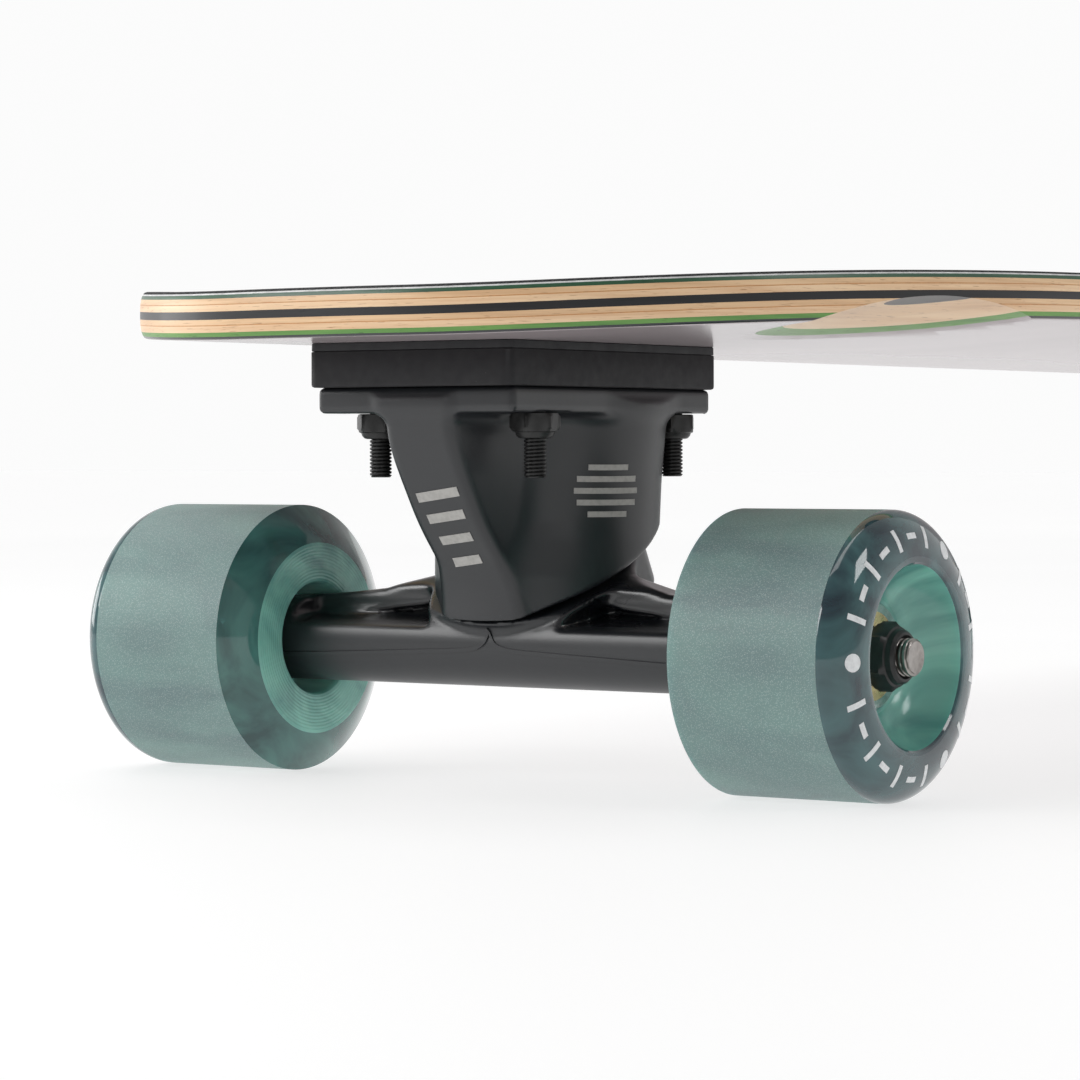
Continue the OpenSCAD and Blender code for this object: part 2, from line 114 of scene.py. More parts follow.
def mesh_from(name, verts, faces, sharp=35, material_of=None):
    """A mesh in metres from points in millimetres, smooth except at edges over sharp degrees."""
    mesh = bpy.data.meshes.new(name)
    mesh.from_pydata((np.asarray(verts, float) * MM).tolist(), [], [list(map(int, f)) for f in faces])
    work = bmesh.new()
    work.from_mesh(mesh)
    bmesh.ops.remove_doubles(work, verts=work.verts, dist=1e-6)
    bmesh.ops.recalc_face_normals(work, faces=work.faces)
    work.to_mesh(mesh)
    work.free()
    if material_of is not None:
        for p in mesh.polygons:
            p.material_index = material_of(np.array(p.center) / MM)
    mesh.polygons.foreach_set("use_smooth", [True] * len(mesh.polygons))
    mesh.set_sharp_from_angle(angle=math.radians(sharp))
    return mesh


def add_object(name, data):
    made = bpy.data.objects.new(name, data)
    bpy.context.scene.collection.objects.link(made)
    return made


def place(name, mesh, body, materials, nodes=(), matrix=None):
    """Puts a mesh in the row frame as a piece that rides on a body and stands for CAD nodes."""
    for m in materials:
        if m.name not in mesh.materials:
            mesh.materials.append(m)
    piece = add_object(name, mesh)
    if matrix is not None:
        piece.matrix_world = matrix_mm(matrix)
    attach(piece, body)
    if nodes:
        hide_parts(*nodes)


def grid_faces(rows, columns, wrap=True):
    """Quads between neighbouring rows of a grid of points, closed round the columns."""
    faces = []
    last = columns if wrap else columns - 1
    for here in range(0, (rows - 1) * columns, columns):
        there = here + columns
        for j in range(last):
            k = (j + 1) % columns
            faces.append((here + j, here + k, there + k, there + j))
    return faces


def shell_faces(rows, columns):
    """Faces of a thin closed patch: a grid of points, the same grid beneath it, and the rim."""
    start = rows * columns
    upper = grid_faces(rows, columns, wrap=False)
    faces = upper + [tuple(i + start for i in reversed(f)) for f in upper]
    rim = list(range(columns)) + [i * columns + columns - 1 for i in range(1, rows)]
    rim += [(rows - 1) * columns + j for j in range(columns - 2, -1, -1)]
    rim += [i * columns for i in range(rows - 2, 0, -1)]
    for a, b in zip(rim, rim[1:] + rim[:1]):
        faces.append((a, a + start, b + start, b))
    return faces


def ring(radii, z, angles):
    """Points at one height, from a radius for each angle."""
    return np.stack([radii * np.cos(angles), radii * np.sin(angles), np.full(len(angles), z)], 1)


def revolve(profile, steps=128, shape=None, closed=False):
    """Points and quads of a profile of (radius, z) turned about Z. shape(radius, z, angle) may
    change the radius, and closed joins the profile's last point to its first."""
    rows = list(profile) + ([profile[0]] if closed else [])
    angles = np.linspace(0, TAU, steps, endpoint=False)
    verts = []
    for r, z in rows:
        radii = np.full(steps, r, float) if shape is None else shape(r, z, angles)
        verts.append(ring(radii, z, angles))
    return np.concatenate(verts), grid_faces(len(rows), steps)


def join(parts):
    """Several (points, faces) as one."""
    verts, faces, start = [], [], 0
    for v, f in parts:
        verts.append(np.asarray(v, float))
        faces += [tuple(i + start for i in face) for face in f]
        start += len(v)
    return np.concatenate(verts), faces


def moved(part, matrix):
    verts, faces = part
    m = np.array(matrix)
    return np.asarray(verts) @ m[:3, :3].T + m[:3, 3], faces


# ---- Solid shapes as distance fields ----

def smooth_union(a, b, k):
    h = np.clip(0.5 + 0.5 * (b - a) / k, 0, 1)
    return b + (a - b) * h - k * h * (1 - h)


def smooth_cut(a, b, k):
    """a without b, with a rounded edge."""
    return -smooth_union(-a, b, k)


def smooth_both(a, b, k):
    return -smooth_union(-a, -b, k)


def rounded_box(p, low, high, r):
    centre = (np.array(low) + np.array(high)) / 2
    half = (np.array(high) - np.array(low)) / 2 - r
    q = np.abs(p - centre) - half
    outside = np.sqrt((np.maximum(q, 0) ** 2).sum(-1))
    return outside + np.minimum(q.max(-1), 0) - r


def gradient(field, p, step=0.05):
    parts = []
    for axis in range(3):
        d = np.zeros(3)
        d[axis] = step
        parts.append((field(p + d) - field(p - d)) / (2 * step))
    return np.stack(parts, 1)


def onto_surface(field, p, rounds=3, height=0.0):
    """Points moved along the field's gradient until they lie on its surface, or height above."""
    for _ in range(rounds):
        g = gradient(field, p)
        p = p - ((field(p) - height) / np.maximum((g ** 2).sum(1), 0.2))[:, None] * g
    return p


def surface_of(field, low, high, step):
    """Points and quads of a field's surface, one point in each grid cell that it crosses."""
    axes = [np.arange(a, b + step, step) for a, b in zip(low, high)]
    grid = np.stack(np.meshgrid(*axes, indexing="ij"), -1)
    values = field(grid.reshape(-1, 3)).reshape(grid.shape[:3])
    inside = values < 0
    shape = tuple(n - 1 for n in values.shape)
    total = np.zeros(shape + (3,))
    count = np.zeros(shape)
    corner = [(i, j, k) for i in (0, 1) for j in (0, 1) for k in (0, 1)]

    def at(array, c):
        return array[c[0]:c[0] + shape[0], c[1]:c[1] + shape[1], c[2]:c[2] + shape[2]]

    for a in corner:
        for axis in range(3):
            if a[axis] == 1:
                continue
            b = tuple(1 if n == axis else a[n] for n in range(3))
            va, vb = at(values, a), at(values, b)
            crosses = at(inside, a) != at(inside, b)
            t = np.where(crosses, va / np.where(crosses, va - vb, 1), 0)
            for n in range(3):
                total[..., n] += crosses * (t if n == axis else a[n])
            count += crosses
    used = count > 0
    number = np.full(shape, -1)
    number[used] = np.arange(used.sum())
    cell = np.argwhere(used)
    verts = np.array(low) + (cell + total[used] / count[used][:, None]) * step
    faces = []
    for axis in range(3):
        b, c = [n for n in range(3) if n != axis]
        one, two = [slice(None)] * 3, [slice(None)] * 3
        one[axis], two[axis] = slice(0, -1), slice(1, None)
        edge = np.argwhere(inside[tuple(one)] != inside[tuple(two)])
        edge = edge[(edge[:, b] > 0) & (edge[:, c] > 0)]
        edge = edge[(edge[:, b] < values.shape[b] - 1) & (edge[:, c] < values.shape[c] - 1)]
        quad = []
        for db, dc in ((1, 1), (0, 1), (0, 0), (1, 0)):
            at_cell = edge.copy()
            at_cell[:, b] -= db
            at_cell[:, c] -= dc
            quad.append(number[tuple(at_cell.T)])
        faces.append(np.stack(quad, 1))
    return onto_surface(field, verts), np.concatenate(faces)


# ---- Materials ----

class Nodes:
    """A node tree with short calls for the few node kinds that the looks need."""

    def __init__(self, tree, coordinates):
        self.tree = tree
        self.position = self.node("ShaderNodeTexCoord").outputs[coordinates]

    def node(self, kind, **settings):
        made = self.tree.nodes.new(kind)
        for key, value in settings.items():
            setattr(made, key, value)
        return made

    def link(self, source, target):
        self.tree.links.new(source, target)

    def value(self, target, value):
        """Sets a socket to a number, or links it to another socket."""
        if isinstance(value, bpy.types.NodeSocket):
            self.link(value, target)
        else:
            target.default_value = value

    def math(self, operation, a, b=0.0):
        made = self.node("ShaderNodeMath", operation=operation)
        self.value(made.inputs[0], a)
        self.value(made.inputs[1], b)
        return made.outputs[0]

    def vector_math(self, operation, second=(0, 0, 0)):
        """A number from the position and a second vector."""
        made = self.node("ShaderNodeVectorMath", operation=operation)
        made.inputs[1].default_value = second
        self.link(self.position, made.inputs[0])
        return made.outputs["Value"]

    def stretched(self, scale):
        made = self.node("ShaderNodeMapping")
        made.inputs["Scale"].default_value = scale
        self.link(self.position, made.inputs["Vector"])
        return made.outputs[0]

    def noise(self, scale, detail=3.0, distortion=0.0, position=None):
        made = self.node("ShaderNodeTexNoise")
        made.inputs["Scale"].default_value = scale
        made.inputs["Detail"].default_value = detail
        made.inputs["Distortion"].default_value = distortion
        self.link(position or self.position, made.inputs["Vector"])
        return made.outputs["Fac"]

    def cells(self, scale):
        made = self.node("ShaderNodeTexVoronoi")
        made.inputs["Scale"].default_value = scale
        self.link(self.position, made.inputs["Vector"])
        return made.outputs["Distance"]

    def ramp(self, factor, *stops):
        """Colours at places from 0 to 1."""
        made = self.node("ShaderNodeValToRGB")
        points = made.color_ramp.elements
        while len(points) < len(stops):
            points.new(0.5)
        for point, (where, color) in zip(points, stops):
            point.position = where
            point.color = (*color, 1) if len(color) == 3 else color
        self.link(factor, made.inputs[0])
        return made.outputs["Color"]

    def span(self, factor, low, high, start=0.0, end=1.0):
        """A number that runs from start to end as one from low to high."""
        made = self.node("ShaderNodeMapRange")
        for key, value in (("From Min", start), ("From Max", end), ("To Min", low), ("To Max", high)):
            made.inputs[key].default_value = value
        self.link(factor, made.inputs["Value"])
        return made.outputs[0]

    def blend(self, factor, a, b, how="MIX"):
        made = self.node("ShaderNodeMix", data_type="RGBA", blend_type=how)
        self.value(made.inputs["Factor"], factor)
        self.value(made.inputs["A"], a)
        self.value(made.inputs["B"], b)
        return made.outputs["Result"]


class Look(Nodes):
    """A Principled material made with such nodes."""

    def __init__(self, name, color=(0.5, 0.5, 0.5), roughness=0.5, metallic=0.0, **inputs):
        self.material = bpy.data.materials.new(name)
        self.material.use_nodes = True
        super().__init__(self.material.node_tree, "Object")
        self.shader = self.tree.nodes["Principled BSDF"]
        self.set("Base Color", (*color, 1))
        self.set("Roughness", roughness)
        self.set("Metallic", metallic)
        for key, value in inputs.items():
            self.set(key.replace("_", " "), value)

    def set(self, key, value):
        self.shader.inputs[key].default_value = value

    def color(self, socket):
        self.link(socket, self.shader.inputs["Base Color"])

    def roughness(self, socket):
        self.link(socket, self.shader.inputs["Roughness"])

    def bump(self, height, distance_mm, strength=1.0):
        made = self.node("ShaderNodeBump")
        made.inputs["Distance"].default_value = distance_mm * MM
        made.inputs["Strength"].default_value = strength
        self.link(height, made.inputs["Height"])
        self.link(made.outputs[0], self.shader.inputs["Normal"])


def grey(level):
    return (level, level, level)


def grip_material():
    """Black grit on paper, with a few grains that catch the light."""
    m = Look("grip_grit", roughness=0.9)
    grains = m.cells(1500)
    coarse = m.noise(700, 4)
    m.color(m.ramp(grains, (0.0, (0.09, 0.09, 0.095)), (0.16, (0.03, 0.03, 0.033)),
                   (0.7, grey(0.008))))
    m.roughness(m.span(coarse, 0.55, 1.0))
    m.bump(m.math("ADD", grains, coarse), 0.35, 0.9)
    return m.material


def paper_material():
    m = Look("grip_paper", roughness=0.7)
    m.color(m.ramp(m.noise(400, 3), (0.3, grey(0.55)), (0.7, grey(0.8))))
    return m.material


def wood_material(name, light, dark):
    """Sanded and lacquered ply edge, with grain that runs along the layer."""
    m = Look(name, roughness=0.4, Coat_Weight=0.1, Coat_Roughness=0.15)
    grain = m.noise(1.0, 6, 0.6, m.stretched((30, 30, 900)))
    pores = m.noise(1.0, 2, 0.0, m.stretched((260, 260, 5200)))
    patches = m.noise(18, 3)
    both = m.math("ADD", m.math("MULTIPLY", grain, 0.7), m.math("MULTIPLY", patches, 0.3))
    tint = m.ramp(both, (0.3, dark), (0.62, light))
    speck = m.ramp(pores, (0.28, tuple(0.55 * c for c in dark)), (0.36, (1, 1, 1)))
    m.color(m.blend(0.6, tint, speck, "MULTIPLY"))
    m.bump(pores, 0.04, 0.5)
    return m.material


def base_material():
    """Printed base under lacquer."""
    m = Look("base_lacquer", roughness=0.2)
    m.color(m.ramp(m.noise(9, 4, 0.5), (0.35, (0.40, 0.345, 0.355)), (0.7, (0.46, 0.40, 0.41))))
    m.bump(m.noise(60, 2), 0.02, 0.4)
    return m.material


def riser_material():
    """Moulded black rubber with a few specks of dust."""
    m = Look("riser_rubber", roughness=0.7)
    dust = m.cells(420)
    m.color(m.ramp(dust, (0.0, grey(0.16)), (0.035, (0.012, 0.012, 0.014)),
                   (1.0, (0.008, 0.008, 0.01))))
    m.roughness(m.span(m.noise(300, 4), 0.5, 0.8))
    m.bump(m.noise(900, 3), 0.06, 0.5)
    return m.material


def paint_material(name, level, roughness, coat):
    """Black paint over cast aluminium: a faint orange peel, and fine dust."""
    m = Look(name, roughness=roughness, IOR=1.62, Coat_Weight=coat, Coat_Roughness=0.25)
    peel = m.noise(420, 3)
    cloud = m.noise(40, 3)
    plain = (0.85 * level, level, 1.25 * level)
    dust = m.ramp(m.cells(300), (0.0, grey(level * 9)), (0.035, plain), (1.0, plain))
    m.color(m.blend(m.math("MULTIPLY", cloud, 0.4), dust, (*(1.4 * c for c in plain), 1)))
    m.roughness(m.span(cloud, roughness - 0.07, roughness + 0.09))
    m.bump(peel, 0.03, 0.6)
    return m.material


def steel_material(name, level, roughness, scale=500, metallic=1.0, tint=(1, 1, 1)):
    """Turned or plated steel with fine marks."""
    m = Look(name, roughness=roughness, metallic=metallic)
    marks = m.noise(scale, 5, 0.4)
    dark = tuple(level * 0.7 * c for c in tint)
    m.color(m.ramp(marks, (0.3, dark), (0.7, tuple(level * c for c in tint))))
    m.roughness(m.span(marks, roughness * 0.7, min(1, roughness * 1.3)))
    m.bump(marks, 0.015, 0.5)
    return m.material


def wheel_place_of(m):
    """Distance from a wheel's own axis in millimetres, and height along that axis in metres."""
    split = m.node("ShaderNodeSeparateXYZ")
    m.link(m.position, split.inputs[0])
    x, y = split.outputs[0], split.outputs[1]
    squares = m.math("ADD", m.math("MULTIPLY", x, x), m.math("MULTIPLY", y, y))
    return m.math("MULTIPLY", m.math("SQRT", squares), 1 / MM), split.outputs[2]


def urethane(name, dark, light, roughness, transmission, **inputs):
    """Smoky cast urethane, clouded by swirls of darker dye."""
    m = Look(name, roughness=roughness, IOR=1.5, Transmission_Weight=transmission, **inputs)
    swirl = m.noise(38, 4, 2.2, m.stretched((1, 1, 0.35)))
    return m, swirl, m.ramp(swirl, (0.34, dark), (0.64, light))


def tread_material():
    """Frosted by wear, with fine pale specks."""
    m, _, cloud = urethane("urethane_tread", (0.185, 0.275, 0.275), (0.24, 0.375, 0.35), 0.5, 0.2,
                           Subsurface_Weight=0.35, Subsurface_Radius=(0.4, 1.0, 0.9),
                           Subsurface_Scale=0.012)
    speck = m.ramp(m.cells(3000), (0.0, (0.9, 0.95, 0.95)), (0.2, grey(0.3)), (0.42, grey(0.0)))
    m.color(m.blend(0.5, cloud, speck, "ADD"))
    m.bump(m.noise(1500, 2), 0.12, 0.7)
    return m.material


def side_material(name, dark, light):
    """Cast sides, glossy as they left the mould."""
    m, swirl, cloud = urethane(name, dark, light, 0.07, 0.3, Coat_Weight=0.5, Coat_Roughness=0.03,
                               Subsurface_Weight=0.1, Subsurface_Radius=(0.3, 1.0, 0.9),
                               Subsurface_Scale=0.008)
    m.color(cloud)
    m.bump(swirl, 0.02, 0.3)
    return m.material


RING_INNER_R = 13.2
RING_PITCH = 0.75


def bowl_material():
    """Inner ring and hub cavity: clearer, greener, and the ring with fine turned lines."""
    m, _, cloud = urethane("urethane_hub", (0.14, 0.39, 0.35), (0.34, 0.76, 0.64), 0.16, 0.25,
                           Subsurface_Weight=0.35, Subsurface_Radius=(0.3, 1.0, 0.8),
                           Subsurface_Scale=0.008)
    m.color(cloud)
    radius, height = wheel_place_of(m)
    rings = m.math("SINE", m.math("MULTIPLY", radius, TAU / RING_PITCH))
    out, back = m.math("GREATER_THAN", radius, RING_INNER_R), m.math("LESS_THAN", radius, FLAT_R)
    inner = m.math("MULTIPLY", m.math("MULTIPLY", out, back), m.math("LESS_THAN", height, 0))
    m.bump(m.math("MULTIPLY", rings, inner), 0.05, 0.8)
    return m.material


def ink_material(name, color, roughness):
    m = Look(name, roughness=roughness)
    m.color(m.ramp(m.noise(900, 3), (0.3, tuple(0.82 * c for c in color)), (0.6, color)))
    return m.material


GRIP = grip_material()
PAPER = paper_material()
VENEER = wood_material("wood_dark_green", (0.035, 0.115, 0.055), (0.015, 0.06, 0.03))
MAPLE_A = wood_material("wood_maple", (0.92, 0.67, 0.43), (0.72, 0.44, 0.24))
MAPLE_B = wood_material("wood_maple_second", (0.88, 0.61, 0.36), (0.64, 0.38, 0.20))
BLACK_WOOD = wood_material("wood_black", (0.014, 0.014, 0.016), (0.006, 0.006, 0.007))
GREEN_WOOD = wood_material("wood_bright_green", (0.16, 0.36, 0.075), (0.07, 0.21, 0.04))
BASE = base_material()
RISER = riser_material()
GLUE = ink_material("glue_line", (0.60, 0.28, 0.10), 0.4)
RIM_PAINT = paint_material("paint_rim_black", 0.012, 0.25, 0.2)
PAINT = paint_material("paint_satin_black", 0.010, 0.38, 0.1)
# Glossier black for the hanger's pockets; its darker colour is painted shade in the recesses.
PAINT_GLOSS_SHADE = paint_material("paint_gloss_black_shaded", 0.008, 0.27, 0.3)
BLACK_STEEL = steel_material("steel_black_oxide", 0.045, 0.38, 600, 0.6)
AXLE_STEEL = steel_material("steel_axle", 0.42, 0.32, 700, 1.0, (1, 0.93, 0.88))
BRIGHT_STEEL = steel_material("steel_bright", 0.75, 0.16)
BRASS = steel_material("brass_shield", 0.75, 0.28, 500, 1.0, (1, 0.8, 0.42))
BRONZE = steel_material("bronze_washer", 0.6, 0.3, 500, 1.0, (1, 0.7, 0.35))
BUSHING = ink_material("bushing_red", (0.3, 0.05, 0.03), 0.5)
TREAD = tread_material()
SIDE = side_material("urethane_side", (0.022, 0.044, 0.062), (0.075, 0.18, 0.19))
CONE = side_material("urethane_cone", (0.035, 0.10, 0.10), (0.10, 0.28, 0.25))
BOWL = bowl_material()
INK = ink_material("ink_white", (0.85, 0.87, 0.88), 0.35)
SILVER_INK = ink_material("ink_silver", (0.42, 0.41, 0.39), 0.45)


# ---- Deck ----

FLAT_HALF = 20
CONCAVE_R = 690
OUTLINE_POWERS = (3.9, 2.65)
OUTLINE_POINTS = 560
EDGE_ROUND = 1.5
BLACK_RIM = 1.2
PAPER_T = 0.34
GLUE_T = 0.2
GLUE_DEPTH = 1
LAYERS = [
    # name, height of its lower face above the underside, and of its upper face
    ("base_sheet", 0.0, 0.6), ("accent_ply", 0.6, 1.5), ("lower_core_low_ply", 1.5, 2.85),
    ("lower_core_top_ply", 2.85, 4.2), ("middle_ply", 4.2, 5.9), ("upper_core_low_ply", 5.9, 7.25),
    ("upper_core_top_ply", 7.25, 8.6), ("top_veneer", 8.6, 9.4), ("grip_tape", 9.4, 10.3)]
DECK_T = LAYERS[-1][2]
DECK_TOP = DECK_BOTTOM + DECK_T


def layer_z(y, height):
    """Height of a layer's face over a point across the deck."""
    out = np.maximum(np.abs(y) - FLAT_HALF, 0)
    return DECK_BOTTOM + CONCAVE_R - np.sqrt((CONCAVE_R - height) ** 2 - out ** 2)


def deck_outline():
    """Evenly spaced points of the deck's outline, and their outward directions."""
    a = np.linspace(0, TAU, 8000, endpoint=False)
    x = DECK_HALF_X * np.sign(np.cos(a)) * np.abs(np.cos(a)) ** (2 / OUTLINE_POWERS[0])
    y = DECK_HALF_Y * np.sign(np.sin(a)) * np.abs(np.sin(a)) ** (2 / OUTLINE_POWERS[1])
    closed = np.stack([np.append(x, x[0]), np.append(y, y[0])], 1)
    walked = np.concatenate([[0], np.cumsum(np.hypot(*np.diff(closed, axis=0).T))])
    even = np.linspace(0, walked[-1], OUTLINE_POINTS, endpoint=False)
    points = np.stack([np.interp(even, walked, closed[:, n]) for n in (0, 1)], 1)
    along = np.roll(points, -1, 0) - np.roll(points, 1, 0)
    out = np.stack([along[:, 1], -along[:, 0]], 1)
    return points, out / np.hypot(*out.T)[:, None]


OUTLINE, OUTWARD = deck_outline()


def edge_inset(height):
    """How far the rounded edge lies inside the outline at a height above the underside."""
    from_middle = abs(2 * height / DECK_T - 1)
    return EDGE_ROUND * (1 - math.sqrt(1 - min(from_middle, 1) ** 3))


def layer_mesh(name, low, high, extra_rows=()):
    """One closed layer: lower face in rings, rounded edge, upper face in rings."""
    rings = [0, 0.12, 0.26, 0.4, 0.54, 0.67, 0.78, 0.86, 0.92, 0.96, 0.985]
    edge = sorted({*np.linspace(low, high, 6), *extra_rows})
    rows = [(low, s, 0) for s in rings] + [(low, 1, BLACK_RIM)] + [(h, 1, 0) for h in edge]
    rows += [(high, s, 0) for s in reversed(rings)]
    verts = []
    for height, s, inset in rows:
        flat = (OUTLINE - OUTWARD * (edge_inset(height) + inset)) * s
        verts.append(np.column_stack([flat, layer_z(flat[:, 1], height)]))
    return mesh_from(name, np.concatenate(verts), grid_faces(len(rows), OUTLINE_POINTS), 40)


def cut(mesh, cutter):
    """The mesh without the cutter's volume."""
    body, tool = add_object("temporary", mesh), add_object("temporary", cutter)
    boolean = body.modifiers.new("cut", "BOOLEAN")
    boolean.operation = "DIFFERENCE"
    boolean.solver = "EXACT"
    boolean.object = tool
    bpy.context.view_layer.update()
    done = bpy.data.meshes.new_from_object(body.evaluated_get(bpy.context.evaluated_depsgraph_get()))
    bpy.data.objects.remove(body)
    bpy.data.objects.remove(tool)
    done.name = mesh.name
    done.polygons.foreach_set("use_smooth", [True] * len(done.polygons))
    done.set_sharp_from_angle(angle=math.radians(25))
    return done


WELL_SHIFT = 16
WELL_AXIS_Z = -15
WELL_SECTION = [(44, 96), (56, 98.2), (62, 99.3), (68, 100.5), (74, 101.8), (80, 103), (86, 104),
                (92, 104.9), (98, 105.8), (106, 106.5), (130, 108.5)]
BOLT_SPACING = (53.98, 41.28)
PATTERN_OFFSET = 5.73
BOLT_PLACES = [(x * BOLT_SPACING[0] / 2 - PATTERN_OFFSET, y * BOLT_SPACING[1] / 2)
               for x in (-1, 1) for y in (-1, 1)]
WELL_LAYERS_TOP = 5.9
HOLE_LAYERS_LOW = 8.6
HEAD_R = 4.7
HEAD_H = 2.9


def well_cutter():
    """The four wheel wells' cutter: a coned round cut just inboard of each axle."""
    profile = [(0.0, WELL_SECTION[0][0])]
    profile += [(z - WELL_AXIS_Z, y) for y, z in WELL_SECTION] + [(0.0, WELL_SECTION[-1][0])]
    parts = []
    for end in (-1, 1):
        for side in (-1, 1):
            turn = Matrix.Rotation(-side * math.pi / 2, 4, "X")
            where = Matrix.Translation((end * (TRUCK_X - WELL_SHIFT), 0, WELL_AXIS_Z))
            parts.append(moved(revolve(profile, 360), where @ turn))
    return mesh_from("well_cutter", *join(parts))


def hole_cutter():
    """Countersinks for the eight bolt heads."""
    profile = [(0.0, DECK_TOP - 6), (2.7, DECK_TOP - 6), (2.7, DECK_TOP - HEAD_H - 0.3),
               (HEAD_R + 0.35, DECK_TOP - 0.35), (HEAD_R + 0.35, DECK_TOP + 3), (0.0, DECK_TOP + 3)]
    parts = []
    for end in (-1, 1):
        for x, y in BOLT_PLACES:
            parts.append(moved(revolve(profile, 48), truck_place(end) @ Matrix.Translation((x, y, 0))))
    return mesh_from("hole_cutter", *join(parts))


def from_outline(x, y):
    """Roughly how far a point of the plan lies inside the deck's outline."""
    a, b = abs(x) / DECK_HALF_X, abs(y) / DECK_HALF_Y
    px, py = OUTLINE_POWERS
    slope = math.hypot(px * a ** (px - 1) / DECK_HALF_X, py * b ** (py - 1) / DECK_HALF_Y)
    return (1 - a ** px - b ** py) / slope


def second_look(name, low, p):
    """Where a layer's second material shows: the paper under the grip, the glue line between
    two plies, and the black rim of the base."""
    height = p[2] - layer_z(p[1], 0)
    if name == "grip_tape":
        return low < height < low + PAPER_T
    inside = from_outline(p[0], p[1])
    if name == "base_sheet":
        return inside < BLACK_RIM
    return height < low + GLUE_T and inside < GLUE_DEPTH


MAPLES = {"lower_core_low_ply": MAPLE_A, "lower_core_top_ply": MAPLE_B,
          "upper_core_low_ply": MAPLE_A, "upper_core_top_ply": MAPLE_B}
LAYER_LOOKS = {"grip_tape": ([GRIP, PAPER], "grip"), "top_veneer": ([VENEER], "green_veneer"),
               "middle_ply": ([BLACK_WOOD], "black_ply"),
               "accent_ply": ([GREEN_WOOD], "bright_green_ply"),
               "base_sheet": ([BASE, RIM_PAINT], "base_print")}
for ply, wood in MAPLES.items():
    LAYER_LOOKS[ply] = ([wood, GLUE] if "top" in ply else [wood], "maple")


def build_deck():
    wells, holes = well_cutter(), hole_cutter()
    for name, low, high in LAYERS:
        looks, slot = LAYER_LOOKS[name]
        extra = {PAPER: (low + PAPER_T,), GLUE: (low + GLUE_T,)}.get(looks[-1], ())
        mesh = layer_mesh("deck_" + name, low, high, extra)
        if high <= WELL_LAYERS_TOP:
            mesh = cut(mesh, wells)
        elif low >= HOLE_LAYERS_LOW:
            mesh = cut(mesh, holes)
        mesh.materials.clear()
        for p in mesh.polygons:
            second = len(looks) > 1 and second_look(name, low, np.array(p.center) / MM)
            p.material_index = int(second)
        place("deck_" + name, mesh, "deck", looks, [name])


# ---- Fasteners ----

def hexagon(across_flats):
    """A radius rule for revolve(): a hexagon inside the radius that the profile allows."""
    def shape(r, z, angles):
        flats = across_flats / 2 / np.cos(np.mod(angles, TAU / 6) - TAU / 12)
        return np.minimum(flats, r)
    return shape


NUT_STEPS = 96
THREAD_STEPS = 48
THREAD_ROWS = 10


def hex_nut(across_flats, height, collar_h, bore_r):
    """A lock nut on Z from 0: a chamfered hexagon and the domed collar that holds its insert."""
    corner = across_flats / 2 / math.cos(TAU / 12)
    flat = across_flats / 2
    body_h = height - collar_h
    outer = [(flat - 0.3, 0), (corner - 0.5, 0.15), (corner, 0.75), (corner, body_h - 0.8),
             (flat, body_h)]
    collar = [(flat, body_h), (flat - 0.5, body_h + 0.2), (flat - 0.7, height - 0.7),
              (flat - 1.2, height - 0.15), (bore_r + 0.6, height), (bore_r + 0.35, height - 0.5),
              (bore_r, height - 0.9), (bore_r, 0), (flat - 0.3, 0)]
    return join([revolve(outer, NUT_STEPS, hexagon(across_flats)), revolve(collar, NUT_STEPS)])


def thread(r, depth, pitch, low, high):
    """The threaded side of a rod on Z, with a short chamfer at its upper end."""
    count = int(round((high - low) / pitch * THREAD_ROWS))
    levels = np.linspace(low, high, count + 1)
    angles = np.linspace(0, TAU, THREAD_STEPS, endpoint=False)
    verts = []
    for z in levels:
        phase = np.mod((z - low) / pitch - angles / TAU, 1)
        wave = np.clip(1.25 - 2.5 * np.abs(2 * phase - 1), 0, 1)
        radii = r - depth * wave
        radii = np.minimum(radii, r - depth * 0.9 + np.clip(high - z, 0, 2) * 1.1)
        radii = np.where(z - low < pitch, np.minimum(radii, r - depth * 0.2), radii)
        verts.append(ring(radii, z, angles))
    return np.concatenate(verts), grid_faces(len(levels), THREAD_STEPS)


def threaded_end(r, depth, pitch, low, high):
    """A threaded rod end on Z with a flat, slightly dished tip."""
    verts, faces = thread(r, depth, pitch, low, high)
    tip = np.hypot(*verts[-THREAD_STEPS:, :2].T).min()
    dish = [(tip, high), (tip - 0.35, high - 0.02), (tip - 0.6, high - 0.12), (0.0, high - 0.14)]
    return join([(verts, faces), revolve(dish, THREAD_STEPS)])


AXLE_R = 4
AXLE_NUT_Y = 92.5
AXLE_NUT_H = 6.6
AXLE_THREAD_Y = 90
BOLT_R = 2.4
BOLT_PITCH = 0.8
BOLT_TIP_Z = corners("front_deck_bolts")[0][2]
DECK_NUT_H = 5.5
DECK_NUT_AF = 9.53
AXLE_NUT_AF = 12.7
HANGER_HALF = 66.5
HOUSING_UNDER = 81.4


def axle_mesh():
    half = corners("front_axle")[1][1]
    parts = []
    for side in (-1, 1):
        turn = Matrix.Translation((0, 0, AXLE_Z)) @ Matrix.Rotation(-side * math.pi / 2, 4, "X")
        rod = revolve([(0.0, 0), (AXLE_R - 0.02, 0), (AXLE_R - 0.02, AXLE_THREAD_Y)], 64)
        parts.append(moved(rod, turn))
        parts.append(moved(threaded_end(AXLE_R - 0.03, 0.6, 1.06, AXLE_THREAD_Y, half), turn))
    return mesh_from("axle", *join(parts), 40)


